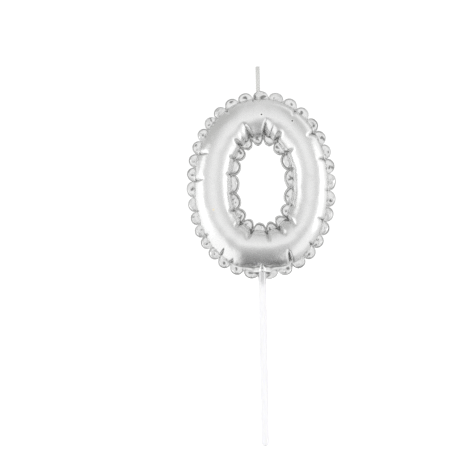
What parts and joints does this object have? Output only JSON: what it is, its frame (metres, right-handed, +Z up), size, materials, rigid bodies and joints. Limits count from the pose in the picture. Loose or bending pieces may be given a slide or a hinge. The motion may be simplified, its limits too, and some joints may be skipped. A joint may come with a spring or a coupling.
{
  "type": "number candle",
  "caption": "Moulded wax candle shaped as an inflated numeral 0 with scalloped inner and outer edges, a short straight wick on top and a round pick below.",
  "frame": {"origin": "tip of the pick, on the pick's axis", "axes": "+Z up along the pick towards the wick, +X to the right of a reader who sees the front, -Y towards that reader"},
  "size_m": [0.0563, 0.0132, 0.1424],
  "materials": {
    "silver_wax": "wax with a satin silver lacquer, fine flake, a few pinholes",
    "waxed_cotton": "braided cotton stiffened with wax, grey",
    "milky_plastic": "translucent white, smooth, silver overspray where it enters the wax"
  },
  "bodies": {
    "root": {"wax_numeral": "silver_wax", "wick": "waxed_cotton", "pick": "milky_plastic"}
  },
  "joints": []
}
